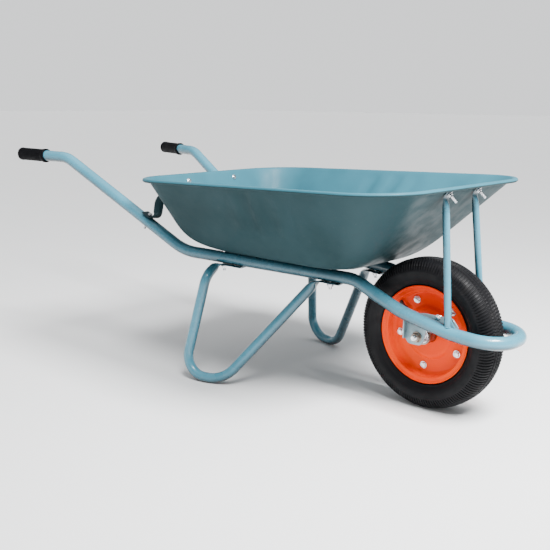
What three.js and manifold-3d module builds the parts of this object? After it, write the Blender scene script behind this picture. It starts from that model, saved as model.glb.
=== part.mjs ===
// Builder's wheelbarrow: one bent tube frame, pressed steel tray, pneumatic wheel.
// Millimetres. X runs forward to the wheel, Y to the user's left, Z up.
// Everything is drawn with X = 0 at the axle and Z = 0 on the ground, then centred at the end.
import * as THREE from 'three';
import { mergeVertices } from 'three/addons/utils/BufferGeometryUtils.js';
import Module from 'manifold-3d';

const wasm = await Module();
wasm.setup();

// ---------- driving dimensions ----------
const GAP = 0.3;                   // air left between pieces that touch
const SIDES = [['right', -1], ['left', 1]];

const RAIL_R = 15;                 // frame tube
const RAIL_WALL = 1.6;
const RAIL_TAPER = 0.1786;         // the rails close in by this much per millimetre forwards
const HANDLE_END_X = -1238;
const HANDLE_END_Z = 535.3;
const GRIP_BEND = { x: -1055, y: 241, z: 531.5 };
const REST_REAR = { x: -650, z: 306.5 };     // the straight stretch that carries the tray
const REST_FRONT = { x: -158, z: 288 };
const FORK_HALF = 72;              // half the distance between the rails beside the wheel
const LOOP_FRONT_X = 208.5;
const LOOP_Z = 195;

const GRIP_LENGTH = 104;
const GRIP_R = 17.8;
const GRIP_COLLAR_R = 19.6;
const GRIP_END_WALL = 4;

const AXLE_Z = 175;
const AXLE_R = 6;
const AXLE_HALF = 74;
const RUNNING_CLEAR = 0.06;        // between the axle and the bearings that turn on it
const TYRE_R = 175;
const HUB_R = 22;
const HUB_HALF = 36;
const BEARING_R = 18.6;
const BEARING_WIDTH = 10;
const RIM_SHEET = 2;
const RIM_BOLTS = 5;
const WHEEL_SEGMENTS = 36;
const RIM_BOLT_CIRCLE_R = 81;
const RIM_BOLT_START = 116.9;      // degrees up from forwards
const VALVE = { angle: 140.6, y: -11, neck: 80, root: 106 };

const SHEET = 1.2;                 // tray sheet
const FLANGE_WIDTH = 12;
const CORNER_STEPS = 7;
const FLANGE_LIP = 6;
const WALL_START = 0.37;           // share of the wall's height where it becomes straight
const TRAY_FLOOR = { rear: -655, front: -130, halfRear: 172, halfFront: 122, corner: 42 };
const TRAY_FLAT = { rear: -543, front: -238, halfRear: 155, halfFront: 105, corner: 88 };
const TRAY_RIM = { rear: -728, front: 75, halfRear: 283, halfFront: 304, corner: 120 };

const TAB = { half: 17, thick: 4 };          // flattened end of a leg
const LEG_R = 12.5;
const FOOT_WEAR = 0.8;             // depth of the narrow flat that the leg stands on
const LEG_BOLT_X = { rear: -524, front: -222 };
const LEG_BOLT_LIFT = 5;           // the sheet slopes up a little towards the walls under the bolt heads
const STRUT_R = 8;
const STRUT_FOOT_X = 87;
const STRUT_BOLT = { z: 506, y: 62 };
const BRACE_R = 12.5;
const BRACE_BOLT = { z: 478, y: 86 };
const BRACE_FOOT_X = -771;

const BRACKET_INNER = 53.7;        // distance of the bracket plate's inner face from the middle
const BRACKET_SHEET = 3;
const BRACKET_BOLT = { x: 52, z: 229.8 };

const M6 = { flats: 10, head: 4, shank: 3, nut: 5 };
const M8 = { flats: 13, head: 5.5, shank: 4, nut: 6.5 };
const M12 = { flats: 19, shank: AXLE_R, nut: 9.5 };
const CLEAR = 0.35;                // hole radius minus shank radius
const BEND_STEP = THREE.MathUtils.degToRad(15);

// ---------- vectors and lines ----------
const v = (x, y, z) => new THREE.Vector3(x, y, z);
const DOWN = v(0, 0, -1);
const mix = THREE.MathUtils.lerp;
const between = (a, b, t) => a.clone().lerp(b, t);
const shifted = (point, direction, distance) => point.clone().addScaledVector(direction, distance);

// Points of the arc that rounds `corner` on the way from `before` to `after`.
function cornerArc(before, corner, after, radius, steps) {
  const back = before.clone().sub(corner).normalize();
  const ahead = after.clone().sub(corner).normalize();
  const inside = back.angleTo(ahead);
  const centre = back.clone().add(ahead).setLength(radius / Math.sin(inside / 2)).add(corner);
  const start = back.multiplyScalar(radius / Math.tan(inside / 2)).add(corner).sub(centre);
  const stop = ahead.multiplyScalar(radius / Math.tan(inside / 2)).add(corner).sub(centre);
  const axis = start.clone().cross(stop).normalize();
  const count = steps ?? Math.max(1, Math.round((Math.PI - inside) / BEND_STEP));
  return Array.from({ length: count + 1 }, (_, k) => (
    start.clone().applyAxisAngle(axis, ((Math.PI - inside) * k) / count).add(centre)));
}

// [point, bend radius] corners -> the points of one bent line.
function bentLine(corners) {
  const line = [corners[0][0].clone()];
  for (let i = 1; i < corners.length - 1; i += 1) {
    const [corner, radius] = corners[i];
    line.push(...cornerArc(corners[i - 1][0], corner, corners[i + 1][0], radius));
  }
  line.push(corners[corners.length - 1][0].clone());
  return line;
}

function runLengths(line) {
  const lengths = [0];
  for (let i = 1; i < line.length; i += 1) lengths.push(lengths[i - 1] + line[i].distanceTo(line[i - 1]));
  return lengths;
}

// The same line with extra points at the given distances from its start.
function withPointsAt(line, distances) {
  const lengths = runLengths(line);
  const points = line.map((point, i) => ({ at: lengths[i], point }));
  for (const wanted of distances) {
    const next = lengths.findIndex((at) => at > wanted);
    const share = (wanted - lengths[next - 1]) / (lengths[next] - lengths[next - 1]);
    const close = Math.min(wanted - lengths[next - 1], lengths[next] - wanted) < 1;
    if (!close) points.push({ at: wanted, point: between(line[next - 1], line[next], share) });
  }
  return points.sort((a, b) => a.at - b.at).map(({ point }) => point);
}

function tangents(line) {
  return line.map((_, i) => (
    line[Math.min(line.length - 1, i + 1)].clone().sub(line[Math.max(0, i - 1)]).normalize()));
}

// A crosswise direction at every point, carried along without twist from `first`;
// whatever turn is then missing to reach `last` is shared out along the line.
function crosswise(line, first, last) {
  const travel = tangents(line);
  const square = (direction, along) => shifted(direction, along, -direction.dot(along)).normalize();
  const carried = [square(first, travel[0])];
  for (let i = 1; i < line.length; i += 1) carried.push(square(carried[i - 1], travel[i]));
  const end = line.length - 1;
  const goal = square(last, travel[end]);
  if (goal.dot(carried[end]) < 0) goal.negate();
  const missing = Math.atan2(carried[end].clone().cross(goal).dot(travel[end]), carried[end].dot(goal));
  return carried.map((direction, i) => direction.applyAxisAngle(travel[i], (missing * i) / end));
}

// ---------- closed skins ----------
// Indexed geometry without collapsed faces, with every face turned to look out.
function closedGeometry(positions, faces) {
  const at = (i) => v(positions[3 * i], positions[3 * i + 1], positions[3 * i + 2]);
  const kept = [];
  let volume = 0;
  for (let f = 0; f < faces.length; f += 3) {
    const [a, b, c] = faces.slice(f, f + 3);
    if (a !== b && b !== c && c !== a) {
      kept.push([a, b, c]);
      volume += at(a).dot(at(b).cross(at(c)));
    }
  }
  const geometry = new THREE.BufferGeometry();
  geometry.setAttribute('position', new THREE.Float32BufferAttribute(positions, 3));
  geometry.setIndex(kept.flatMap(([a, b, c]) => (volume < 0 ? [a, c, b] : [a, b, c])));
  return geometry;
}

// Skin over a row of rings with equal counts, capped at both ends, or joined back to the first.
function skin(rings, joined = false) {
  const count = rings[0].length;
  const positions = rings.flat().flatMap((point) => point.toArray());
  const faces = [];
  const bands = joined ? rings.length : rings.length - 1;
  for (let band = 0; band < bands; band += 1) {
    const low = band * count;
    const high = ((band + 1) % rings.length) * count;
    for (let k = 0; k < count; k += 1) {
      const next = (k + 1) % count;
      faces.push(low + k, low + next, high + next, low + k, high + next, high + k);
    }
  }
  if (!joined) {
    for (const index of [0, rings.length - 1]) {
      const middle = rings[index].reduce((sum, point) => sum.add(point), v(0, 0, 0)).divideScalar(count);
      const tip = positions.length / 3;
      positions.push(...middle.toArray());
      for (let k = 0; k < count; k += 1) {
        const here = index * count + k;
        const next = index * count + ((k + 1) % count);
        faces.push(...(index === 0 ? [tip, next, here] : [tip, here, next]));
      }
    }
  }
  return closedGeometry(positions, faces);
}

// Oval ring: half size `wide` along `across` and `thick` at right angles to it.
function oval(centre, travel, across, wide, thick, sides) {
  const other = travel.clone().cross(across);
  return Array.from({ length: sides }, (_, k) => {
    const angle = (2 * Math.PI * (k + 0.5)) / sides;
    return shifted(shifted(centre, across, wide * Math.cos(angle)), other, thick * Math.sin(angle));
  });
}

function roundRings(line, radius, sides) {
  const travel = tangents(line);
  const across = crosswise(line, v(0, 1, 0), v(0, 1, 0));
  return line.map((point, i) => oval(point, travel[i], across[i], radius, radius, sides));
}

// Hollow tube, open at both ends.
function openTube(line, radius, wall, sides) {
  const bore = roundRings(line, radius - wall, sides).reverse();
  return skin([...roundRings(line, radius, sides), ...bore], true);
}

// Solid tube; `ends` gives the length, half width and half thickness of each flattened end.
function solidTube(corners, radius, sides, ends = {}) {
  const { start = 0, stop = 0, ease = 26, half = radius, thick = radius } = ends;
  const { first = v(0, 1, 0), last = first } = ends;
  const plain = bentLine(corners);
  const total = runLengths(plain).pop();
  const extras = [];
  if (start) extras.push(start, start + ease / 2, start + ease);
  if (stop) extras.push(total - stop, total - stop - ease / 2, total - stop - ease);
  const line = withPointsAt(plain, extras);
  const lengths = runLengths(line);
  const travel = tangents(line);
  const across = crosswise(line, first, last);
  return skin(line.map((point, i) => {
    const fromStart = start ? (lengths[i] - start) / ease : 1;
    const fromStop = stop ? (total - lengths[i] - stop) / ease : 1;
    const round = THREE.MathUtils.smoothstep(Math.min(fromStart, fromStop), 0, 1);
    return oval(point, travel[i], across[i], mix(half, radius, round), mix(thick, radius, round), sides);
  }));
}

// Body turned about the Y axis. A profile of [radius, y] points closes on itself or on the axis.
function turned(profile, segments) {
  const onAxis = profile[0][0] === 0;
  const points = (onAxis ? profile : [...profile, profile[0]]).map(([r, y]) => new THREE.Vector2(r, y));
  const bare = new THREE.LatheGeometry(points, segments);
  bare.deleteAttribute('normal');
  bare.deleteAttribute('uv');
  const merged = mergeVertices(bare, 1e-3);
  return closedGeometry(Array.from(merged.attributes.position.array), Array.from(merged.index.array));
}

// Flat plate from an [x, z] outline, `depth` thick along +Y from `y`.
function plate(outline, y, depth) {
  const shape = new THREE.Shape(outline.map(([x, z]) => new THREE.Vector2(x, z)));
  const body = new THREE.ExtrudeGeometry(shape, { depth, bevelEnabled: false });
  return body.rotateX(Math.PI / 2).translate(0, y + depth, 0);
}

// Geometry made along +Y, moved to start at `start` and to run along `direction`.
function aimed(geometry, start, direction) {
  const turn = new THREE.Quaternion().setFromUnitVectors(v(0, 1, 0), direction.clone().normalize());
  return geometry.clone().applyQuaternion(turn).translate(start.x, start.y, start.z);
}

// ---------- adding and cutting ----------
function toSolid(geometry) {
  const bare = geometry.clone();
  bare.deleteAttribute('normal');
  bare.deleteAttribute('uv');
  const merged = mergeVertices(bare, 1e-4);
  return new wasm.Manifold(new wasm.Mesh({
    numProp: 3,
    vertProperties: new Float32Array(merged.attributes.position.array),
    triVerts: new Uint32Array(merged.index.array),
  }));
}

function toGeometry(solid) {
  const mesh = solid.getMesh();
  const geometry = new THREE.BufferGeometry();
  geometry.setAttribute('position', new THREE.BufferAttribute(new Float32Array(mesh.vertProperties), 3));
  geometry.setIndex(new THREE.BufferAttribute(new Uint32Array(mesh.triVerts), 1));
  return geometry;
}

function cut(body, cutters) {
  return toGeometry(cutters.reduce((solid, cutter) => solid.subtract(toSolid(cutter)), toSolid(body)));
}

function welded(body, others) {
  return toGeometry(others.reduce((solid, other) => solid.add(toSolid(other)), toSolid(body)));
}

// Round cutter centred on `middle`.
function drill(middle, direction, length, radius) {
  return aimed(new THREE.CylinderGeometry(radius, radius, length, 12), middle, direction);
}

// ---------- fasteners, all made along +Y ----------
// Six corners, or twelve where the middles of the flats count too.
function hexRing(y, acrossFlats, sides) {
  return Array.from({ length: sides }, (_, k) => {
    const reach = sides === 12 && k % 2 ? acrossFlats / 2 : acrossFlats / Math.sqrt(3);
    return v(reach * Math.cos((2 * Math.PI * k) / sides), y, reach * Math.sin((2 * Math.PI * k) / sides));
  });
}

function roundRing(y, radius, sides) {
  return Array.from({ length: sides }, (_, k) => (
    v(radius * Math.cos((2 * Math.PI * k) / sides), y, radius * Math.sin((2 * Math.PI * k) / sides))));
}

// The head is below y = 0 and the shank above it.
function bolt({ flats, head, shank }, length) {
  return skin([
    hexRing(-head, flats, 6), hexRing(0, flats, 6), roundRing(0, shank, 6), roundRing(length, shank, 6),
  ]);
}

function nut({ flats, shank, nut: height }, sides = 6) {
  const hole = (shank + 0.12) / Math.cos(Math.PI / sides);
  return skin([
    hexRing(0, flats, sides), hexRing(height, flats, sides),
    roundRing(height, hole, sides), roundRing(0, hole, sides),
  ], true);
}

// ---------- materials ----------
const material = (color, roughness, metalness) => (
  () => new THREE.MeshStandardMaterial({ color, roughness, metalness }));
const tubePaint = material(0x8fb9c6, 0.35, 0.2);
const trayPaint = material(0x5f8791, 0.4, 0.25);
const rimPaint = material(0xe8430f, 0.3, 0.1);
const zinc = material(0xb9bcc0, 0.35, 0.9);
const darkSteel = material(0x5a5148, 0.5, 0.7);
const tyreRubber = material(0x1b1c1d, 0.85, 0);
const gripPlastic = material(0x141415, 0.6, 0);

const scene = new THREE.Group();
scene.name = 'wheelbarrow';
const drawn = new THREE.Group();
drawn.name = 'drawn_from_the_axle';
scene.add(drawn);

function addPiece(name, geometry, makeMaterial) {
  const mesh = new THREE.Mesh(geometry, makeMaterial());
  mesh.name = name;
  drawn.add(mesh);
}

// ---------- where things are ----------
const railHalf = (x) => GRIP_BEND.y - RAIL_TAPER * (x - GRIP_BEND.x);
const REST_SLOPE = (REST_FRONT.z - REST_REAR.z) / (REST_FRONT.x - REST_REAR.x);
const BACK_SLOPE = (GRIP_BEND.z - REST_REAR.z) / (GRIP_BEND.x - REST_REAR.x);
const restZ = (x) => REST_REAR.z + REST_SLOPE * (x - REST_REAR.x);
const RAIL_RISE = RAIL_R * Math.hypot(1, REST_SLOPE);        // from centre line straight up to the skin
const trayFloorZ = (x) => restZ(x) + RAIL_RISE + GAP;
const trayRimZ = (x) => 514 + 0.027 * x;

const restPoint = (x, side, z) => v(x, side * railHalf(x), z);

function railCorners(side) {
  const forkStartX = GRIP_BEND.x + (GRIP_BEND.y - FORK_HALF) / RAIL_TAPER;
  const tubeEnd = restPoint(HANDLE_END_X + GRIP_END_WALL + GAP, side, HANDLE_END_Z);
  return [
    [tubeEnd, 0],
    [v(GRIP_BEND.x, side * GRIP_BEND.y, GRIP_BEND.z), 90],
    [restPoint(REST_REAR.x, side, REST_REAR.z), 150],
    [restPoint(REST_FRONT.x, side, REST_FRONT.z), 90],
    [v(forkStartX, side * FORK_HALF, 260.5), 60],
    [v(-33, side * FORK_HALF, 230), 230],
    [v(94, side * FORK_HALF, 202.5), 320],
    [v(LOOP_FRONT_X, side * FORK_HALF, LOOP_Z), FORK_HALF - 6],
  ];
}

const FRAME_LINE = bentLine([...railCorners(-1), ...railCorners(1).reverse()]);

// Outer face of the tray's front or rear wall at height z.
function trayWall(end, z, y) {
  const low = v(TRAY_FLOOR[end], y, trayFloorZ(TRAY_FLOOR[end]));
  const high = v(TRAY_RIM[end], y, trayRimZ(TRAY_RIM[end]));
  const up = high.clone().sub(low).normalize();
  const out = v(up.z * Math.sign(up.x), 0, -Math.abs(up.x));
  return { point: between(low, high, (z - low.z) / (high.z - low.z)), out, up };
}

// Top of the sloping rail behind the tray.
function railTop(x, side) {
  const run = v(1, -side * RAIL_TAPER, BACK_SLOPE).normalize();
  const up = shifted(v(0, 0, 1), run, -run.z).normalize();
  const centre = v(x, side * railHalf(x), REST_REAR.z + BACK_SLOPE * (x - REST_REAR.x));
  return { point: shifted(centre, up, RAIL_R), up };
}

// The straight-down bolts that clamp tray, rail and leg together.
function legBoltHeads(side) {
  return Object.entries(LEG_BOLT_X).map(([end, x]) => (
    { end, seat: restPoint(x, side, trayFloorZ(x) + SHEET + LEG_BOLT_LIFT) }));
}

// ---------- tray ----------
function trayOutline(size, grow, height) {
  const rear = size.rear - grow;
  const front = size.front + grow;
  const corners = [
    v(front, -size.halfFront - grow, 0),
    v(front, size.halfFront + grow, 0),
    v(rear, size.halfRear + grow, 0),
    v(rear, -size.halfRear - grow, 0),
  ];
  const outline = corners.flatMap((corner, i) => (
    cornerArc(corners[(i + 3) % 4], corner, corners[(i + 1) % 4], size.corner + grow, CORNER_STEPS)));
  return outline.map((point) => v(point.x, point.y, height(point.x)));
}

// Height of the wall at `share` of the way up, so that the four walls are flat.
function wallHeight(size, share) {
  return (x) => {
    const t = (x - size.rear) / (size.front - size.rear);
    const low = trayFloorZ(mix(TRAY_FLOOR.rear, TRAY_FLOOR.front, t));
    const high = trayRimZ(mix(TRAY_RIM.rear, TRAY_RIM.front, t));
    return mix(low, high, share);
  };
}

function wallOutline(share, grow, lift) {
  const size = {};
  for (const key of Object.keys(TRAY_FLOOR)) size[key] = mix(TRAY_FLOOR[key], TRAY_RIM[key], share);
  const height = wallHeight(size, share);
  const outline = trayOutline(size, 0, height);
  const moved = trayOutline(size, grow, () => 0);
  return moved.map((point, i) => v(point.x, point.y, outline[i].z + lift));
}

// Outlines from the floor, up the wall and over the flange to its edge.
// `inset` is the distance from the outer face into the sheet.
function traySurface(inset) {
  const flat = trayOutline(TRAY_FLAT, 0, (x) => trayFloorZ(x) + inset);
  const corner = trayOutline(TRAY_FLOOR, -inset * 0.5, (x) => trayFloorZ(x) + inset);
  const wall = wallOutline(WALL_START, -inset * 0.78, inset * 0.62);
  const bend = [0.2, 0.4, 0.6, 0.8].map((t) => flat.map((point, i) => (
    between(between(point, corner[i], t), between(corner[i], wall[i], t), t))));
  const rimTop = wallOutline(1, -inset * 0.78, inset * 0.62);
  const flangeStart = trayOutline(TRAY_RIM, 2 - inset * 0.5, (x) => trayRimZ(x) + 1 + inset);
  const flangeEdge = trayOutline(TRAY_RIM, FLANGE_WIDTH - SHEET + inset, (x) => trayRimZ(x) + 1 + inset);
  const lip = trayOutline(TRAY_RIM, FLANGE_WIDTH - SHEET + inset, (x) => trayRimZ(x) - FLANGE_LIP);
  return [flat, ...bend, wall, rimTop, flangeStart, flangeEdge, lip];
}

function addTray() {
  const shell = skin([...traySurface(0), ...traySurface(SHEET).reverse()]);
  const holes = [];
  for (const [, side] of SIDES) {
    for (const { seat } of legBoltHeads(side)) holes.push(drill(seat, DOWN, 30, M8.shank + CLEAR));
    const front = trayWall('front', STRUT_BOLT.z, side * STRUT_BOLT.y);
    const rear = trayWall('rear', BRACE_BOLT.z, side * BRACE_BOLT.y);
    for (const { point, out } of [front, rear]) holes.push(drill(point, out, 20, M6.shank + CLEAR));
  }
  addPiece('tray', cut(shell, holes), trayPaint);
}

// ---------- frame ----------
function addFrameTube() {
  const holes = [];
  for (const [, side] of SIDES) {
    for (const { seat } of legBoltHeads(side)) holes.push(drill(seat, DOWN, 90, M8.shank + CLEAR));
    const foot = railTop(BRACE_FOOT_X, side);
    holes.push(drill(foot.point, foot.up, 80, M6.shank + CLEAR));
  }
  addPiece('frame_tube', cut(openTube(FRAME_LINE, RAIL_R, RAIL_WALL, 12), holes), tubePaint);
}

// The rails beside the wheel, a little fatter, to fit welded pieces against.
function forkCutter() {
  return skin(roundRings(FRAME_LINE.filter((point) => point.x > -260), RAIL_R + GAP, 12));
}

function addLegs() {
  const tabZ = (x) => restZ(x) - RAIL_RISE - GAP - TAB.thick / 2 - 0.1;
  const tabPoint = (x, side) => v(x, side * railHalf(x), tabZ(x));
  const ground = new THREE.BoxGeometry(400, 800, 40).translate(-500, 0, -20);
  for (const [label, side] of SIDES) {
    const across = v(side * RAIL_TAPER, 1, 0).normalize();
    const corners = [
      [tabPoint(LEG_BOLT_X.rear + 58, side), 0],
      [tabPoint(LEG_BOLT_X.rear - 18, side), 22],
      [v(-526, side * 208, 262), 40],
      [v(-560, side * 257, LEG_R - FOOT_WEAR), 52],
      [v(-446, side * 229, LEG_R - FOOT_WEAR), 88],
      [tabPoint(LEG_BOLT_X.front - 34, side), 30],
      [tabPoint(LEG_BOLT_X.front + 28, side), 0],
    ];
    const body = solidTube(corners, LEG_R, 10, {
      start: 74, stop: 56, ease: 36, half: TAB.half, thick: TAB.thick / 2, first: across,
    });
    const holes = legBoltHeads(side).map(({ seat }) => drill(seat, DOWN, 120, M8.shank + CLEAR));
    addPiece(`leg_${label}`, cut(body, [...holes, ground]), tubePaint);
  }
}

function addStruts(fork) {
  for (const [label, side] of SIDES) {
    const y = side * STRUT_BOLT.y;
    const onWall = (z) => {
      const wall = trayWall('front', z, y);
      return shifted(wall.point, wall.out, GAP + 2);
    };
    const corners = [
      [v(STRUT_FOOT_X, side * FORK_HALF, 208), 0],
      [onWall(498.5), 16],
      [onWall(513.5), 0],
    ];
    const tube = solidTube(corners, STRUT_R, 10, { stop: 21, ease: 24, half: 11.5, thick: 2 });
    const foot = STRUT_FOOT_X;
    const gusset = plate([[foot, 208], [foot + 20, 208], [foot, 243]], side * FORK_HALF - 1.5, 3);
    const { point, out } = trayWall('front', STRUT_BOLT.z, y);
    const hole = drill(point, out, 20, M6.shank + CLEAR);
    addPiece(`strut_${label}`, cut(welded(tube, [gusset]), [fork, hole]), tubePaint);
  }
}

function addRearBraces() {
  for (const [label, side] of SIDES) {
    const onRail = (x) => {
      const spot = railTop(x, side);
      return shifted(spot.point, spot.up, GAP + 2);
    };
    const onWall = (z, y) => {
      const wall = trayWall('rear', z, side * y);
      return shifted(wall.point, wall.out, GAP + 2);
    };
    const corners = [
      [onRail(BRACE_FOOT_X - 16), 0],
      [onRail(BRACE_FOOT_X + 23), 12],
      [v(-750, side * 165, 430), 30],
      [onWall(473, BRACE_BOLT.y + 30), 14],
      [onWall(480, BRACE_BOLT.y - 14), 0],
    ];
    const wall = trayWall('rear', BRACE_BOLT.z, side * BRACE_BOLT.y);
    const body = solidTube(corners, BRACE_R, 10, {
      start: 34, stop: 50, ease: 20, half: 15, thick: 2, first: v(side * RAIL_TAPER, 1, 0), last: wall.up,
    });
    const foot = railTop(BRACE_FOOT_X, side);
    const cutters = [
      aimed(new THREE.BoxGeometry(200, 60, 200), shifted(wall.point, wall.out, GAP - 30), wall.out),
      drill(foot.point, foot.up, 30, M6.shank + CLEAR),
      drill(wall.point, wall.out, 20, M6.shank + CLEAR),
    ];
    addPiece(`rear_brace_${label}`, cut(body, cutters), tubePaint);
  }
}

function addGrips() {
  const sleeve = turned([
    [0, 0], [14.5, 0], [17, 1.8], [GRIP_R, 6],
    [GRIP_R, GRIP_LENGTH - 9], [GRIP_COLLAR_R, GRIP_LENGTH - 7], [GRIP_COLLAR_R, GRIP_LENGTH - 1.5],
    [GRIP_COLLAR_R - 1.5, GRIP_LENGTH], [RAIL_R + GAP, GRIP_LENGTH],
    [RAIL_R + GAP, GRIP_END_WALL], [0, GRIP_END_WALL],
  ], 20);
  for (const [label, side] of SIDES) {
    const end = restPoint(HANDLE_END_X, side, HANDLE_END_Z);
    const bend = v(GRIP_BEND.x, side * GRIP_BEND.y, GRIP_BEND.z);
    addPiece(`grip_${label}`, aimed(sleeve, end, bend.sub(end)), gripPlastic);
  }
}

// ---------- axle ----------
const BRACKET_OUTLINE = [
  [-33, 168], [-22, 156], [8, 156], [17, 166], [22, 203], [100, 203], [104, 214], [88, 237], [16, 237],
  [-33, 224],
];
const BRACKET_FOLD = [[-33, 168], [-30, 168], [-30, 226], [-33, 226]];

function addAxleBrackets(fork) {
  for (const [label, side] of SIDES) {
    const inner = side > 0 ? BRACKET_INNER : -BRACKET_INNER - BRACKET_SHEET;
    const fold = side > 0 ? BRACKET_INNER + 1 : -BRACKET_INNER - 11;
    const body = welded(plate(BRACKET_OUTLINE, inner, BRACKET_SHEET), [plate(BRACKET_FOLD, fold, 10)]);
    const middle = side * BRACKET_INNER;
    const holes = [
      drill(v(0, middle, AXLE_Z), v(0, 1, 0), 20, AXLE_R + CLEAR),
      drill(v(BRACKET_BOLT.x, middle, BRACKET_BOLT.z), v(0, 1, 0), 20, M6.shank + CLEAR),
    ];
    addPiece(`axle_bracket_${label}`, cut(body, [fork, ...holes]), tubePaint);
  }
}

function addAxle() {
  const rod = turned([[0, -AXLE_HALF], [AXLE_R, -AXLE_HALF], [AXLE_R, AXLE_HALF], [0, AXLE_HALF]], 16);
  addPiece('axle', rod.translate(0, 0, AXLE_Z), zinc);
  const spacerLength = BRACKET_INNER - HUB_HALF - 2 * GAP;
  const spacer = turned([[6.4, 0], [9.5, 0], [9.5, spacerLength], [6.4, spacerLength]], 16);
  const nutStart = BRACKET_INNER + BRACKET_SHEET + GAP;
  for (const [label, side] of SIDES) {
    const out = v(0, side, 0);
    addPiece(`axle_spacer_${label}`, aimed(spacer, v(0, side * (HUB_HALF + GAP), AXLE_Z), out), zinc);
    addPiece(`axle_nut_${label}`, aimed(nut(M12, 12), v(0, side * nutStart, AXLE_Z), out), zinc);
  }
}

// ---------- wheel ----------
const mirrored = (profile) => profile.map(([r, y]) => [r, -y]);

// Right-hand halves of the profiles, from the middle outwards.
const TYRE_OUTSIDE = [
  [102.2, 15.6], [102.2, 24.6], [111, 24.9], [117, 28.3], [126, 37.5], [140, 42],
  [154, 40], [166, 33], [172.5, 24], [TYRE_R, 10],
];
const TYRE_INSIDE = [[168.5, 10], [160, 29], [138, 35.5], [113, 20.5]];

function addTyre() {
  const outside = [...TYRE_OUTSIDE, ...mirrored(TYRE_OUTSIDE).reverse()];
  const inside = [...mirrored(TYRE_INSIDE).reverse(), ...TYRE_INSIDE];
  addPiece('tyre', turned([...outside, ...inside], WHEEL_SEGMENTS).translate(0, 0, AXLE_Z), tyreRubber);
}

// Air tube: a thin ring, slit along the rim side so that it isn't a sealed hollow.
function addInnerTube() {
  const arc = (high, wide) => Array.from({ length: 8 }, (_, k) => {
    const angle = THREE.MathUtils.degToRad(-168 + (336 * k) / 7);
    return [138 + high * Math.cos(angle), wide * Math.sin(angle)];
  });
  const tube = turned([...arc(26, 25), ...arc(24, 23).reverse()], 24);
  addPiece('inner_tube', tube.translate(0, 0, AXLE_Z), tyreRubber);
}

const RIM_PROFILE = [
  [HUB_R + GAP, 6.2], [54, 6.2], [63, 0.2], [94.8, 0.2], [101.7, 7], [101.7, 25.4],
  [112, 25.8], [114, 31.5], [112, 31.5], [110.3, 27.8], [99.7, 27.4], [99.7, 8.2],
  [93.8, 2.2], [64, 2.2], [55, 8.2], [HUB_R + GAP, 8.2],
];

function onWheel(degrees, radius, y) {
  const angle = THREE.MathUtils.degToRad(degrees);
  return v(radius * Math.cos(angle), y, AXLE_Z + radius * Math.sin(angle));
}

function addRims() {
  const boltAngles = Array.from({ length: RIM_BOLTS }, (_, k) => RIM_BOLT_START + (360 / RIM_BOLTS) * k);
  const holes = boltAngles.map((angle) => (
    drill(onWheel(angle, RIM_BOLT_CIRCLE_R, 0), v(0, 1, 0), 30, M8.shank + CLEAR)));
  const valveWay = onWheel(VALVE.angle, 1, VALVE.y).sub(v(0, VALVE.y, AXLE_Z));
  const valveHole = drill(onWheel(VALVE.angle, 98, VALVE.y), valveWay, 14, 4.6);
  for (const [label, side] of SIDES) {
    const profile = side > 0 ? RIM_PROFILE : mirrored(RIM_PROFILE);
    const half = turned(profile, WHEEL_SEGMENTS).translate(0, 0, AXLE_Z);
    addPiece(`rim_half_${label}`, cut(half, side > 0 ? holes : [...holes, valveHole]), rimPaint);
  }
  const face = 0.2 + RIM_SHEET + GAP;
  boltAngles.forEach((angle, k) => {
    const head = onWheel(angle, RIM_BOLT_CIRCLE_R, -face);
    const seat = onWheel(angle, RIM_BOLT_CIRCLE_R, face);
    addPiece(`rim_bolt_${k + 1}`, aimed(bolt(M8, 2 * face + M8.nut + 2), head, v(0, 1, 0)), zinc);
    addPiece(`rim_nut_${k + 1}`, aimed(nut(M8), seat, v(0, 1, 0)), zinc);
  });
  const inwards = valveWay.clone().negate();
  const stem = turned([[0, 0], [4.1, 0], [4.1, 14], [3.2, 16], [3.2, VALVE.root - VALVE.neck],
    [0, VALVE.root - VALVE.neck]], 12);
  const cap = turned([[0, 0], [4.2, 0], [4.2, 6.5], [3.2, 7.7], [0, 7.7]], 12);
  addPiece('valve_stem', aimed(stem, onWheel(VALVE.angle, VALVE.root, VALVE.y), inwards), tyreRubber);
  const capStart = onWheel(VALVE.angle, VALVE.neck - GAP, VALVE.y);
  addPiece('valve_cap', aimed(cap, capStart, inwards), gripPlastic);
}

function addHub() {
  const seat = HUB_HALF - BEARING_WIDTH - 0.4;
  const quarter = [[HUB_R, HUB_HALF], [BEARING_R + GAP, HUB_HALF], [BEARING_R + GAP, seat], [16, seat]];
  const barrel = turned([...quarter, ...mirrored(quarter).reverse()], 20);
  addPiece('hub', barrel.translate(0, 0, AXLE_Z), darkSteel);
  const bore = (AXLE_R + RUNNING_CLEAR) / Math.cos(Math.PI / 16);
  const bearing = turned([
    [BEARING_R, 0], [BEARING_R, BEARING_WIDTH], [16, BEARING_WIDTH], [15, BEARING_WIDTH - 1],
    [10, BEARING_WIDTH - 1], [9, BEARING_WIDTH], [bore, BEARING_WIDTH], [bore, 0],
  ], 16);
  for (const [label, side] of SIDES) {
    const start = v(0, side * (seat + 0.2), AXLE_Z);
    addPiece(`bearing_${label}`, aimed(bearing, start, v(0, side, 0)), zinc);
  }
}

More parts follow.
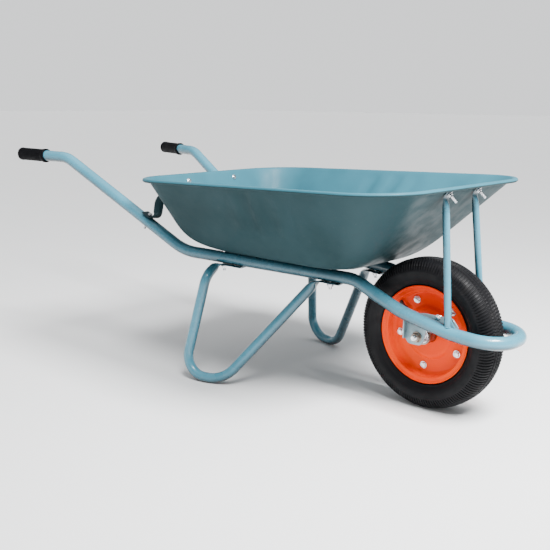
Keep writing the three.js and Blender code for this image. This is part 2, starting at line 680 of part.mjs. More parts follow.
// ---------- fasteners of the frame ----------
function addFasteners() {
  for (const [label, side] of SIDES) {
    for (const { end, seat } of legBoltHeads(side)) {
      const tabBottom = restZ(seat.x) - RAIL_RISE - GAP - TAB.thick - 0.8;
      const length = seat.z - tabBottom + M8.nut + 7;
      addPiece(`leg_bolt_${end}_${label}`, aimed(bolt(M8, length), seat, DOWN), zinc);
      const nutSeat = v(seat.x, seat.y, tabBottom - 0.9);
      addPiece(`leg_nut_${end}_${label}`, aimed(nut(M8), nutSeat, DOWN), zinc);
    }
    const through = SHEET + GAP + 4;
    for (const [name, wallEnd, spot, spare] of [
      ['strut', 'front', STRUT_BOLT, 20], ['brace', 'rear', BRACE_BOLT, 2],
    ]) {
      const { point, out } = trayWall(wallEnd, spot.z, side * spot.y);
      const head = shifted(point, out, -SHEET - 0.6);
      const seat = shifted(point, out, GAP + 4.6);
      addPiece(`${name}_bolt_${label}`, aimed(bolt(M6, through + M6.nut + spare), head, out), zinc);
      addPiece(`${name}_nut_${label}`, aimed(nut(M6), seat, out), zinc);
    }
    const foot = railTop(BRACE_FOOT_X, side);
    const footHead = shifted(foot.point, foot.up, GAP + 4.6);
    addPiece(`brace_foot_bolt_${label}`, aimed(bolt(M6, 44), footHead, foot.up.clone().negate()), zinc);
    const outerFace = v(BRACKET_BOLT.x, side * (BRACKET_INNER + BRACKET_SHEET + 0.2), BRACKET_BOLT.z);
    addPiece(`bracket_bolt_${label}`, aimed(bolt(M6, 10), outerFace, v(0, -side, 0)), zinc);
  }
}

// ---------- build ----------
addTray();
addFrameTube();
addLegs();
const fork = forkCutter();
addStruts(fork);
addRearBraces();
addGrips();
addAxleBrackets(fork);
addAxle();
addTyre();
addInnerTube();
addRims();
addHub();
addFasteners();

drawn.position.x = -new THREE.Box3().setFromObject(drawn).getCenter(v(0, 0, 0)).x;

export default scene;
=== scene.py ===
"""Looks of the builder's wheelbarrow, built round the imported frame.

Shapes are worked out in millimetres with X = 0 at the axle, then moved into the row frame in metres.
"""
import math

import bmesh
import bpy
import numpy as np
from mathutils import Matrix, Vector


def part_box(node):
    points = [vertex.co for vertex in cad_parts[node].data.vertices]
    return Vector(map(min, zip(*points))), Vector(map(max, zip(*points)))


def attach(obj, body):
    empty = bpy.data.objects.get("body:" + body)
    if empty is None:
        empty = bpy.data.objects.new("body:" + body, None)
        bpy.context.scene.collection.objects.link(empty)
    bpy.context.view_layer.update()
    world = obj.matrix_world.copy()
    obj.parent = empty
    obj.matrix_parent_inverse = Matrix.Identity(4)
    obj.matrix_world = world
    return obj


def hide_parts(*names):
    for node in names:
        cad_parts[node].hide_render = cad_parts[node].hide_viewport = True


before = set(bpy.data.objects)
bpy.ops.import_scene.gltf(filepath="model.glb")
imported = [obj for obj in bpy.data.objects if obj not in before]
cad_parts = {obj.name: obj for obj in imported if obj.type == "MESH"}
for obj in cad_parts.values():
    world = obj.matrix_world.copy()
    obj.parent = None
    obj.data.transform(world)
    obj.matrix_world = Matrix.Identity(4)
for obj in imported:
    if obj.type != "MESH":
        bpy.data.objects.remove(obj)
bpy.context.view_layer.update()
axle_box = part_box("axle")
AXLE_X = (axle_box[0].x + axle_box[1].x) / 2
MM = 0.001
SIDES = (("right", -1), ("left", 1))

# ---------- sizes, in millimetres ----------
GAP = 0.3
RAIL_R = 15
RAIL_TAPER = 0.1786
HANDLE_END = (-1238, 535.3)
GRIP_LENGTH = 104
GRIP_BEND = (-1055, 241, 531.5)
REST_REAR = (-650, 306.5)
REST_FRONT = (-158, 288)
FORK_HALF = 72
LOOP_FRONT_X = 208.5
LOOP_Z = 195
AXLE_Z = 175
SHEET = 1.2
FLANGE_WIDTH = 12
WALL_START = 0.37
ROLL_BANDS = 7
BELLY_FULLNESS = 1.4
TRAY_FLOOR = {"rear": -655, "front": -130, "half_rear": 172, "half_front": 122, "corner": 42}
TRAY_FLAT = {"rear": -543, "front": -238, "half_rear": 155, "half_front": 105, "corner": 88}
TRAY_RIM = {"rear": -728, "front": 75, "half_rear": 283, "half_front": 304, "corner": 120}
LEG_BOLT_X = {"rear": -524, "front": -222}
LEG_BOLT_LIFT = 5
RIM_HEIGHT = 514                   # height of the tray's rim at the axle, and its slope
RIM_SLOPE = 0.027
ROLL_R = 3.3                       # rolled edge of the rim
OUTLINE_PIECES = (30, 22)          # along the long and the short sides of the tray
OUTLINE_CORNER_STEPS = 16
TAB_HALF = 17                      # flattened end of a leg
TAB_THICK = 4
LEG_R = 12.5
LEG_BEND = (-526, 208, 262)
LEG_FOOT_REAR = (-560, 257)
LEG_FOOT_FRONT = (-446, 229)
FOOT_Z = 11.7
STRUT_R = 8
STRUT_FOOT_X = 87
STRUT_FOOT_Z = 212
STRUT_BOLT = (506, 62)
BRACE_R = 12.5
BRACE_BEND = (-750, 165, 430)
BRACE_BOLT = (478, 86)
BRACE_FOOT_X = -771
BRACKET_INNER = 53.7
BRACKET_SHEET = 3
AXLE_HALF = 74
HUB_HALF = 36
TYRE_R = 175
TREAD_LUGS = 150
TREAD_DEPTH = 2.7
TREAD_SEGMENTS = 1500
RIM_BOLTS = 5
RIM_BOLT_CIRCLE_R = 81
RIM_BOLT_START = 116.9
VALVE_ANGLE = 140.6
M6 = {"flats": 10, "head": 4, "shank": 3, "nut": 5}
M8 = {"flats": 13, "head": 5.5, "shank": 4, "nut": 6.5}
M12 = {"flats": 19, "shank": 6, "nut": 9.5}
# Folds that pressing left in the side walls: distance along X, half width and depth.
FOLDS = (
    (-372, 11, 5.5), (-340, 9, -5.0), (-307, 9, 6.5), (-275, 8, -5.0), (-242, 9, 5.0), (-207, 9, -3.0),
)


# ---------- camera, lights, floor ----------
CAMERA_LENS = 55.53
CAMERA_PLACE = (AXLE_X + 0.9926, -1.6393, 0.6951)
CAMERA_YAW = 41.96
CAMERA_DIP = 11.67
CAMERA_ROLL = 0.45
FLOOR_REACH = 40
SKY_STRENGTH = 1.25
# Sine of the elevation and the brightness there.
SKY_BANDS = ((0.0, 1.0), (0.14, 1.0), (0.24, 0.3), (0.6, 0.3), (0.8, 0.75))


def add_camera():
    """At the photograph's viewpoint, solved from the wheel circles and the paired rails."""
    data = bpy.data.cameras.new("camera")
    data.sensor_width = 36
    data.lens = CAMERA_LENS
    data.clip_start = 0.05
    camera = bpy.data.objects.new("camera", data)
    bpy.context.scene.collection.objects.link(camera)
    place = Matrix.Translation(CAMERA_PLACE)
    yaw = Matrix.Rotation(math.radians(CAMERA_YAW), 4, "Z")
    pitch = Matrix.Rotation(math.radians(90 - CAMERA_DIP), 4, "X")
    roll = Matrix.Rotation(math.radians(CAMERA_ROLL), 4, "Z")
    camera.matrix_world = place @ yaw @ pitch @ roll
    bpy.context.scene.camera = camera


def add_area_light(name, place, aim, size, watts):
    data = bpy.data.lights.new(name, "AREA")
    data.shape = "RECTANGLE"
    data.size, data.size_y = size
    data.energy = watts
    light = bpy.data.objects.new(name, data)
    bpy.context.scene.collection.objects.link(light)
    light.location = place
    light.rotation_euler = (Vector(aim) - Vector(place)).to_track_quat("-Z", "Y").to_euler()


def add_sun(name, source, strength, softness):
    """Even light from the direction of source, with its apparent width in degrees."""
    data = bpy.data.lights.new(name, "SUN")
    data.energy = strength
    data.angle = math.radians(softness)
    light = bpy.data.objects.new(name, data)
    bpy.context.scene.collection.objects.link(light)
    light.rotation_euler = (-Vector(source)).to_track_quat("-Z", "Y").to_euler()


def add_stage():
    """A soft sky in bands, the pale floor and two lamps."""
    world = bpy.data.worlds.new("studio")
    bpy.context.scene.world = world
    world.use_nodes = True
    tree = world.node_tree
    direction = tree.nodes.new("ShaderNodeTexCoord").outputs["Generated"]
    height = tree.nodes.new("ShaderNodeSeparateXYZ")
    bands = tree.nodes.new("ShaderNodeValToRGB")
    tree.links.new(direction, height.inputs["Vector"])
    tree.links.new(height.outputs["Z"], bands.inputs["Fac"])
    tree.links.new(bands.outputs["Color"], tree.nodes["Background"].inputs["Color"])
    steps = bands.color_ramp.elements
    for place, level in SKY_BANDS:
        step = steps.new(place)
        step.color = (level * 0.97, level * 0.985, level, 1)
    steps.remove(steps[0])
    tree.nodes["Background"].inputs["Strength"].default_value = SKY_STRENGTH
    mesh = bpy.data.meshes.new("floor")
    corners = [(x * FLOOR_REACH, y * FLOOR_REACH, 0) for x, y in ((-1, -1), (1, -1), (1, 1), (-1, 1))]
    mesh.from_pydata(corners, [], [(0, 1, 2, 3)])
    floor = bpy.data.objects.new("floor", mesh)
    bpy.context.scene.collection.objects.link(floor)
    floor.data.materials.append(floor_material())
    add_sun("key_light", (0.75, -0.45, 1.5), 2.8, 18)
    add_area_light("front_softbox", (1.6, -0.1, 1.9), (0.2, 0, 0.2), (0.6, 0.6), 140)


# ---------- materials ----------
class Nodes:
    """One node material, with short ways to add the nodes that all of them use."""

    def __init__(self, name):
        self.material = bpy.data.materials.new(name)
        self.material.use_nodes = True
        self.tree = self.material.node_tree
        self.shader = self.tree.nodes["Principled BSDF"]
        self.place = self.add("ShaderNodeTexCoord").outputs["Object"]

    def add(self, kind, **settings):
        node = self.tree.nodes.new(kind)
        for key, value in settings.items():
            setattr(node, key, value)
        return node

    def link(self, source, target):
        self.tree.links.new(source, target)

    def noise(self, scale, detail=3, rough=0.5, stretch=None):
        node = self.add("ShaderNodeTexNoise")
        node.inputs["Scale"].default_value = scale
        node.inputs["Detail"].default_value = detail
        node.inputs["Roughness"].default_value = rough
        place = self.place
        if stretch:
            mapping = self.add("ShaderNodeMapping")
            mapping.inputs["Scale"].default_value = stretch
            self.link(place, mapping.inputs["Vector"])
            place = mapping.outputs["Vector"]
        self.link(place, node.inputs["Vector"])
        return node.outputs["Fac"]

    def ramp(self, value, low, high, to_low=0.0, to_high=1.0):
        node = self.add("ShaderNodeMapRange")
        node.interpolation_type = "SMOOTHSTEP"
        self.link(value, node.inputs["Value"])
        limits = {"From Min": low, "From Max": high, "To Min": to_low, "To Max": to_high}
        for key, number in limits.items():
            node.inputs[key].default_value = number
        return node.outputs["Result"]

    def mix(self, factor, first, second):
        node = self.add("ShaderNodeMix", data_type="RGBA")
        self.link(factor, node.inputs["Factor"])
        for key, colour in (("A", first), ("B", second)):
            socket = [s for s in node.inputs if s.name == key and s.type == "RGBA"][0]
            if isinstance(colour, tuple):
                socket.default_value = (*colour, 1)
            else:
                self.link(colour, socket)
        return [s for s in node.outputs if s.type == "RGBA"][0]

    def underside_shade(self, amount):
        """Painted shade on faces that look down, broken up by noise."""
        height = self.add("ShaderNodeSeparateXYZ")
        self.link(self.add("ShaderNodeNewGeometry").outputs["Normal"], height.inputs["Vector"])
        uneven = self.add("ShaderNodeMath", operation="MULTIPLY_ADD")
        self.link(self.noise(24, 4), uneven.inputs[0])
        uneven.inputs[1].default_value = 0.35
        self.link(height.outputs["Z"], uneven.inputs[2])
        return self.ramp(uneven.outputs["Value"], -0.75, 0.3, amount, 0)

    def crevice_shade(self, amount):
        """Painted shade where other pieces are close."""
        node = self.add("ShaderNodeAmbientOcclusion", samples=8)
        node.inputs["Distance"].default_value = 0.22
        return self.ramp(node.outputs["AO"], 0.35, 0.95, amount, 0)

    def overhang_shade(self, amount):
        """Painted shade where the tray or another piece overhead blocks the light from above."""
        node = self.add("ShaderNodeAmbientOcclusion", samples=8)
        node.inputs["Distance"].default_value = 0.3
        upright = self.add("ShaderNodeCombineXYZ")
        upright.inputs["Z"].default_value = 1
        self.link(upright.outputs["Vector"], node.inputs["Normal"])
        return self.ramp(node.outputs["AO"], 0.08, 0.42, amount, 0)

    def bump(self, heights):
        """Bumps on bumps: (height, strength, distance in metres) from coarse to fine."""
        normal = None
        for height, strength, distance in heights:
            node = self.add("ShaderNodeBump")
            node.inputs["Strength"].default_value = strength
            node.inputs["Distance"].default_value = distance
            self.link(height, node.inputs["Height"])
            if normal:
                self.link(normal, node.inputs["Normal"])
            normal = node.outputs["Normal"]
        self.link(normal, self.shader.inputs["Normal"])

    def set(self, **sockets):
        for key, value in sockets.items():
            socket = self.shader.inputs[key.replace("_", " ")]
            if isinstance(value, bpy.types.NodeSocket):
                self.link(value, socket)
            else:
                socket.default_value = value


def floor_material():
    n = Nodes("pale_floor")
    n.set(Base_Color=n.mix(n.noise(3), (0.86, 0.87, 0.88), (0.9, 0.9, 0.9)), Roughness=0.9)
    n.set(Specular_IOR_Level=0.1)
    return n.material


def paint(name, base, shade, gloss, dirt_amount, shine, dirt=(0.10, 0.11, 0.11), peel=0.08,
          under=0.0, shaded=0.0, roofed=0.0, waves=0.25):
    """Sprayed paint: slow colour drift, fine dirt specks, painted shade in corners and undersides, and orange
    peel.

    gloss is the lowest roughness, and shine holds the specular level and the weight of the coat.
    under, shaded and roofed say how dark the painted shade is on faces that look down, close to others and
    overhung.
    """
    n = Nodes(name)
    drift = n.mix(n.ramp(n.noise(5, 4), 0.35, 0.68), base, shade)
    specks = n.ramp(n.noise(170, 5, 0.65), 0.6, 0.72, 0, dirt_amount)
    smudge = n.ramp(n.noise(22, 5, 0.6), 0.55, 0.8, 0, dirt_amount * 0.5)
    colour = n.mix(smudge, n.mix(specks, drift, dirt), shade)
    # Painted shade: the paint's shade colour, much darker, laid on faces that look down, near other pieces
    # and under overhangs.
    painted_shade = tuple(0.12 * part for part in shade)
    if under:
        colour = n.mix(n.underside_shade(under), colour, painted_shade)
    if shaded:
        colour = n.mix(n.crevice_shade(shaded), colour, painted_shade)
    if roofed:
        colour = n.mix(n.overhang_shade(roofed), colour, painted_shade)
    n.set(Base_Color=colour, Roughness=n.ramp(n.noise(30, 4), 0.3, 0.75, gloss, gloss + 0.2))
    n.set(Specular_IOR_Level=shine[0], Coat_Weight=shine[1], Coat_Roughness=0.12)
    n.bump([(n.noise(14, 2), waves, 0.001), (n.noise(420, 2), peel, 0.0006)])
    return n.material


def zinc_material():
    n = Nodes("zinc_plate")
    colour = n.mix(n.ramp(n.noise(60, 4), 0.35, 0.7), (0.92, 0.93, 0.95), (0.55, 0.56, 0.58))
    n.set(Base_Color=colour, Metallic=1.0, Roughness=n.ramp(n.noise(140, 4), 0.3, 0.75, 0.16, 0.42))
    n.bump([(n.noise(500, 3), 0.15, 0.0003)])
    return n.material


def hub_material():
    n = Nodes("bare_steel")
    rings = n.noise(300, 2, 0.5, (0.02, 1, 0.02))
    colour = n.mix(n.ramp(n.noise(40, 5, 0.6), 0.4, 0.65), (0.36, 0.31, 0.27), (0.17, 0.12, 0.09))
    n.set(Base_Color=colour, Metallic=1.0, Roughness=n.ramp(n.noise(90, 4), 0.3, 0.75, 0.25, 0.5))
    n.bump([(rings, 0.3, 0.0003)])
    return n.material


def tyre_material():
    n = Nodes("tyre_rubber")
    dust = n.ramp(n.noise(26, 6, 0.65), 0.52, 0.78, 0, 0.45)
    colour = n.mix(dust, (0.004, 0.004, 0.005), (0.02, 0.018, 0.017))
    n.set(Base_Color=colour, Roughness=n.ramp(n.noise(45, 5), 0.3, 0.75, 0.42, 0.68))
    n.set(Specular_IOR_Level=0.15)
    n.bump([(n.noise(90, 3), 0.12, 0.0006), (n.noise(900, 3), 0.25, 0.0003)])
    return n.material


def rubber_material():
    n = Nodes("soft_rubber")
    colour = n.mix(n.noise(50, 4), (0.016, 0.016, 0.017), (0.03, 0.03, 0.03))
    n.set(Base_Color=colour, Roughness=n.ramp(n.noise(120, 3), 0.3, 0.75, 0.5, 0.7))
    n.bump([(n.noise(700, 2), 0.2, 0.0002)])
    return n.material


def grip_material():
    n = Nodes("grip_plastic")
    wear = n.ramp(n.noise(70, 5, 0.6), 0.5, 0.75, 0, 0.6)
    n.set(Base_Color=n.mix(wear, (0.003, 0.003, 0.004), (0.01, 0.01, 0.011)))
    n.set(Roughness=n.ramp(n.noise(60, 4), 0.3, 0.75, 0.38, 0.6), Specular_IOR_Level=0.06)
    n.bump([(n.noise(1100, 3), 0.3, 0.0003)])
    return n.material


FRAME_PAINT = paint(
    "frame_paint", (0.07, 0.27, 0.37), (0.055, 0.225, 0.31), 0.2, 0.2, (0.3, 0.7),
    under=0.7, shaded=0.3, roofed=0.9)
# Darker copy of the frame paint: painted shade for the braces in the tray's shadow, with dirt specks over it.
BRACE_SHADED_PAINT = paint(
    "brace_shaded_paint", (0.02, 0.05, 0.06), (0.008, 0.014, 0.016), 0.4, 0.5, (0.1, 0.1),
    dirt=(0.1, 0.14, 0.15), peel=0.3, under=0.6)
# Darker copy of the inside paint: painted shade for the outer faces, which look down and away from the lamps.
TRAY_OUTSIDE_SHADED = paint(
    "tray_outside_painted_shade", (0.024, 0.052, 0.059), (0.018, 0.041, 0.046), 0.34, 0.15, (0.03, 0.03),
    shaded=0.4, waves=0.06)
TRAY_INSIDE = paint(
    "tray_paint_inside", (0.036, 0.15, 0.2), (0.027, 0.118, 0.158), 0.4, 0.1, (0.2, 0.03), waves=0.12)
RIM_PAINT = paint(
    "rim_paint", (0.84, 0.035, 0.0), (0.82, 0.06, 0.0), 0.2, 0.1, (0.03, 0.08),
    dirt=(0.35, 0.02, 0.0), peel=0.04)
BRACKET_PAINT = paint(
    "bracket_paint", (0.3, 0.46, 0.52), (0.16, 0.24, 0.27), 0.2, 0.4, (0.5, 0.6), under=0.5, shaded=0.5)
ZINC = zinc_material()
HUB_STEEL = hub_material()
TYRE_RUBBER = tyre_material()
SOFT_RUBBER = rubber_material()
GRIP_PLASTIC = grip_material()


# ---------- lines and skins ----------
def unit(vector):
    return vector / np.linalg.norm(vector)


def mix(a, b, t):
    return a + (b - a) * t


def smooth(t):
    t = np.clip(t, 0, 1)
    return t * t * (3 - 2 * t)


def corner_arc(before, corner, after, radius, steps=None):
    back = unit(before - corner)
    ahead = unit(after - corner)
    inside = math.acos(np.clip(back @ ahead, -1, 1))
    turn = math.pi - inside
    steps = steps or max(3, round(math.degrees(turn) / 4))
    centre = corner + unit(back + ahead) * radius / math.sin(inside / 2)
    start = unit(corner + back * radius / math.tan(inside / 2) - centre)
    stop = unit(corner + ahead * radius / math.tan(inside / 2) - centre)
    sideways = unit(stop - start * (start @ stop))
    angles = np.linspace(0, turn, steps + 1)
    return [centre + radius * (start * math.cos(a) + sideways * math.sin(a)) for a in angles]


def bent_line(corners, spacing=12):
    """[point, bend radius] corners -> evenly filled points of one bent line."""
    corners = [(np.array(point, float), radius) for point, radius in corners]
    line = [corners[0][0]]
    for i in range(1, len(corners) - 1):
        line += corner_arc(corners[i - 1][0], corners[i][0], corners[i + 1][0], corners[i][1])
    line.append(corners[-1][0])
    filled = [line[0]]
    for a, b in zip(line, line[1:]):
        pieces = max(1, round(np.linalg.norm(b - a) / spacing))
        filled += [mix(a, b, (k + 1) / pieces) for k in range(pieces)]
    return np.array(filled)


def run_lengths(line):
    return np.concatenate([[0], np.cumsum(np.linalg.norm(np.diff(line, axis=0), axis=1))])


def directions(line):
    travel = np.gradient(line, axis=0)
    return travel / np.linalg.norm(travel, axis=1)[:, None]


def squared(direction, along):
    """The part of direction that is at right angles to along."""
    return unit(direction - along * (direction @ along))


def crosswise(line, first, last):
    """A crosswise direction at each point, carried along from first, and turned to reach last."""
    travel = directions(line)
    carried = [squared(np.array(first, float), travel[0])]
    for along in travel[1:]:
        carried.append(squared(carried[-1], along))
    goal = squared(np.array(last, float), travel[-1])
    if goal @ carried[-1] < 0:
        goal = -goal
    missing = math.atan2(np.cross(carried[-1], goal) @ travel[-1], carried[-1] @ goal)
    turned = []
    for i, direction in enumerate(carried):
        angle = missing * i / (len(line) - 1)
        turned.append(direction * math.cos(angle) + np.cross(travel[i], direction) * math.sin(angle))
    return np.array(turned), travel


def oval(centre, along, across, half, thick, sides):
    angles = 2 * math.pi * (np.arange(sides) + 0.5) / sides
    other = np.cross(along, across)
    return centre + np.outer(np.cos(angles) * half, across) + np.outer(np.sin(angles) * thick, other)


def skin(rings, joined=False):
    """Rows of rings with equal counts -> points and faces, capped unless joined."""
    count = len(rings[0])
    points = np.concatenate(rings)
    faces = []
    bands = len(rings) if joined else len(rings) - 1
    for band in range(bands):
        low = band * count
        high = ((band + 1) % len(rings)) * count
        for k in range(count):
            after = (k + 1) % count
            faces.append((low + k, low + after, high + after, high + k))
    if not joined:
        faces.append(tuple(range(count - 1, -1, -1)))
        last = (len(rings) - 1) * count
        faces.append(tuple(range(last, last + count)))
    return points, faces


def tube(corners, radius, ends=None, sides=32):
    """A bent tube. ends holds the flattened lengths, half width, half thickness and their directions."""
    ends = ends or {}
    line = bent_line(corners)
    first = ends.get("first", (0, 1, 0))
    across, travel = crosswise(line, first, ends.get("last", first))
    lengths = run_lengths(line)
    ease = ends.get("ease", 26)
    start = ends.get("start", 0)
    stop = ends.get("stop", 0)
    from_start = (lengths - start) / ease if start else np.ones(len(line))
    from_stop = (lengths[-1] - lengths - stop) / ease if stop else np.ones(len(line))
    roundness = smooth(np.minimum(from_start, from_stop))
    half = mix(ends.get("half", radius), radius, roundness)
    thick = mix(ends.get("thick", radius), radius, roundness)
    rings = [oval(*ring, sides) for ring in zip(line, travel, across, half, thick)]
    return skin(soft_ends(rings, travel, min(1.2, thick.min() * 0.5)))


def shrunk(ring, inset):
    middle = ring.mean(axis=0)
    return middle + (ring - middle) * (1 - inset / np.abs(ring - middle).max())


def soft_ends(rings, travel, bevel):
    """Adds a slightly smaller ring at each end, so that the cut edges catch light."""
    rings = [shrunk(rings[0], bevel), *rings, shrunk(rings[-1], bevel)]
    rings[1] = rings[1] + travel[0] * bevel
    rings[-2] = rings[-2] - travel[-1] * bevel
    return rings


def turned(profile, segments=96, place=(0, 0, AXLE_Z)):
    """Body turned about the Y axis through place; the profile of (radius, y) closes on itself."""
    angles = 2 * math.pi * np.arange(segments) / segments
    rings = []
    for radius, y in profile:
        ring = np.stack([radius * np.cos(angles), np.full(segments, y), radius * np.sin(angles)], 1)
        rings.append(ring + np.array(place))
    return skin(rings, joined=True)


def rounded_profile(points, radius=0.8, steps=3):
    """Closed (r, y) outline with its corners rounded."""
    points = [np.array(point, float) for point in points]
    out = []
    for i, corner in enumerate(points):
        before = points[i - 1]
        after = points[(i + 1) % len(points)]
        shorter = min(np.linalg.norm(before - corner), np.linalg.norm(after - corner))
        reach = min(radius, 0.45 * shorter)
        a = corner + unit(before - corner) * reach
        b = corner + unit(after - corner) * reach
        for t in np.linspace(0, 1, steps):
            out.append(tuple(mix(mix(a, corner, t), mix(corner, b, t), t)))
    return out


def merged(*bodies):
    points = []
    faces = []
    for body_points, body_faces in bodies:
        offset = sum(len(p) for p in points)
        points.append(np.asarray(body_points, float))
        faces += [tuple(i + offset for i in face) for face in body_faces]
    return np.concatenate(points), faces


def aimed(body, start, direction):
    """A body made along +Y, moved to start at start and run along direction."""
    points, faces = body
    turn = Vector((0, 1, 0)).rotation_difference(Vector(direction)).to_matrix()
    return np.asarray(points) @ np.array(turn).T + np.array(start), faces


def add_piece(name, body, materials, nodes, rides="frame", sharp=40):
    """Makes a piece that stands for the CAD nodes. Edges over sharp degrees stay crisp."""
    points, faces = body
    world = np.asarray(points, float) * MM + np.array([AXLE_X, 0, 0])
    mesh = bpy.data.meshes.new(name)
    mesh.from_pydata([tuple(point) for point in world], [], faces)
    mesh.validate()
    piece = bpy.data.objects.new(name, mesh)
    bpy.context.scene.collection.objects.link(piece)
    for material in materials if isinstance(materials, list) else [materials]:
        mesh.materials.append(material)
    face_outwards(mesh)
    mesh.shade_smooth()
    mesh.set_sharp_from_angle(angle=math.radians(sharp))
    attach(piece, rides)
    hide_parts(*nodes)
    return piece


def face_outwards(mesh):
    work = bmesh.new()
    work.from_mesh(mesh)
    bmesh.ops.recalc_face_normals(work, faces=work.faces)
    work.to_mesh(mesh)
    work.free()


# ---------- where things are ----------
REST_SLOPE = (REST_FRONT[1] - REST_REAR[1]) / (REST_FRONT[0] - REST_REAR[0])
BACK_SLOPE = (GRIP_BEND[2] - REST_REAR[1]) / (GRIP_BEND[0] - REST_REAR[0])
RAIL_RISE = RAIL_R * math.hypot(1, REST_SLOPE)


def rail_half(x):
    return GRIP_BEND[1] - RAIL_TAPER * (x - GRIP_BEND[0])


def rest_z(x):
    return REST_REAR[1] + REST_SLOPE * (x - REST_REAR[0])


def floor_z(x):
    return rest_z(x) + RAIL_RISE + GAP


def rim_z(x):
    return RIM_HEIGHT + RIM_SLOPE * x


def tray_wall(end, z, y):
    """Point, outward and upward directions on the outer face of the tray's front or rear wall."""
    low = np.array([TRAY_FLOOR[end], y, floor_z(TRAY_FLOOR[end])])
    high = np.array([TRAY_RIM[end], y, rim_z(TRAY_RIM[end])])
    up = unit(high - low)
    out = np.array([up[2] * np.sign(up[0]), 0, -abs(up[0])])
    return mix(low, high, (z - low[2]) / (high[2] - low[2])), out, up


def rail_top(x, side):
    run = unit(np.array([1, -side * RAIL_TAPER, BACK_SLOPE]))
    up = unit(np.array([0, 0, 1]) - run * run[2])
    centre = np.array([x, side * rail_half(x), REST_REAR[1] + BACK_SLOPE * (x - REST_REAR[0])])
    return centre + up * RAIL_R, up


def leg_bolt_seat(x, side):
    return np.array([x, side * rail_half(x), floor_z(x) + SHEET + LEG_BOLT_LIFT])


# ---------- tray ----------
def tray_outline(size, grow):
    """Points round the tray at one level, in the same order at every level."""
    rear = size["rear"] - grow
    front = size["front"] + grow
    half_front = size["half_front"] + grow
    half_rear = size["half_rear"] + grow
    corners = np.array([
        (front, -half_front, 0), (front, half_front, 0), (rear, half_rear, 0), (rear, -half_rear, 0)], float)
    radius = size["corner"] + grow
    arcs = [corner_arc(corners[i - 1], corners[i], corners[(i + 1) % 4], radius, OUTLINE_CORNER_STEPS)
            for i in range(4)]
    outline = []
    for i, arc in enumerate(arcs):
        outline += arc
        pieces = OUTLINE_PIECES[0] if i % 2 else OUTLINE_PIECES[1]
        start = arc[-1]
        stop = arcs[(i + 1) % 4][0]
        outline += [mix(start, stop, k / pieces) for k in range(1, pieces)]
    return np.array(outline)


def at_height(outline, height):
    return np.column_stack([outline[:, 0], outline[:, 1], height])


def wall_ring(share):
    size = {key: mix(TRAY_FLOOR[key], TRAY_RIM[key], share) for key in TRAY_FLOOR}
    plain = tray_outline(size, 0)
    t = (plain[:, 0] - size["rear"]) / (size["front"] - size["rear"])
    low = floor_z(mix(TRAY_FLOOR["rear"], TRAY_FLOOR["front"], t))
    high = rim_z(mix(TRAY_RIM["rear"], TRAY_RIM["front"], t))
    return at_height(plain, mix(low, high, share))


def draw_marks(ring, share):
    """Soft vertical folds that pressing left in both side walls, just under the rim."""
    window = smooth((share - 0.3) / 0.25) * smooth((1.0 - share) / 0.12)
    x = ring[:, 0] - 60 * (share - 0.8)
    depth = sum(size * np.exp(-((x - middle) / width) ** 2) for middle, width, size in FOLDS)
    on_side = smooth((np.abs(ring[:, 1]) - 150) / 60)
    ring[:, 1] += np.sign(ring[:, 1]) * depth * window * on_side
    return ring


def tray_rings():
    """From the middle of the floor, up the walls, over the flange and round the rolled edge."""
    flat = tray_outline(TRAY_FLAT, 0)
    flat = at_height(flat, floor_z(flat[:, 0]))
    middle = np.array([(TRAY_FLOOR["rear"] + TRAY_FLOOR["front"]) / 2, 0, 0])
    rings = []
    for share in (0.04, 0.3, 0.55, 0.8):
        ring = middle + (flat - middle) * share
        rings.append(at_height(ring, floor_z(ring[:, 0])))
    corner = tray_outline(TRAY_FLOOR, 0)
    corner = at_height(corner, floor_z(corner[:, 0]))
    wall = wall_ring(WALL_START)
    for t in np.linspace(0, 1, 17):
        weights = np.array([(1 - t) ** 2, 2 * t * (1 - t) * BELLY_FULLNESS, t ** 2])
        weights /= weights.sum()
        rings.append(weights[0] * flat + weights[1] * corner + weights[2] * wall)
    rings += [draw_marks(wall_ring(share), share) for share in np.linspace(WALL_START + 0.03, 0.985, 26)]
    rim = tray_outline(TRAY_RIM, 0)
    level = rim_z(rim[:, 0])
    for grow, lift in ((0.4, 0.2), (1.4, 1.2), (3.2, 1.9), (5.5, 2.0), (7.5, 2.0)):
        rings.append(at_height(tray_outline(TRAY_RIM, grow), level + lift))
    for degrees in range(75, -200, -25):
        angle = math.radians(degrees)
        grow = FLANGE_WIDTH - ROLL_R + ROLL_R * math.cos(angle)
        lift = 2.0 - ROLL_R + ROLL_R * math.sin(angle)
        rings.append(at_height(tray_outline(TRAY_RIM, grow), level + lift))
    return rings


def add_tray():
    """One sheet, open at the top: its outer face and the underside of the roll have the darker paint, painted
    shade for faces turned away from the light.
    """
    points, faces = skin(tray_rings())
    faces = faces[:-2] + [faces[-2]]
    paints = [TRAY_INSIDE, TRAY_OUTSIDE_SHADED]
    piece = add_piece("pressed_tray", (points, faces), paints, ["tray"], sharp=60)
    if floor_normal(piece.data) < 0:
        piece.data.flip_normals()
    # Faces under the rolled edge take the darker outside paint: painted shade along the roll's underside.
    under_roll = len(faces) - 1 - ROLL_BANDS * len(tray_outline(TRAY_RIM, 0))
    for face in list(piece.data.polygons)[under_roll:-1]:
        face.material_index = 1
    sheet = piece.modifiers.new("sheet", "SOLIDIFY")
    sheet.thickness = SHEET * MM
    sheet.offset = 1
    sheet.material_offset = 1


def floor_normal(mesh):
    """Over zero where the first faces, all in the floor, look up."""
    return sum(face.normal.z for face in mesh.polygons[:100])


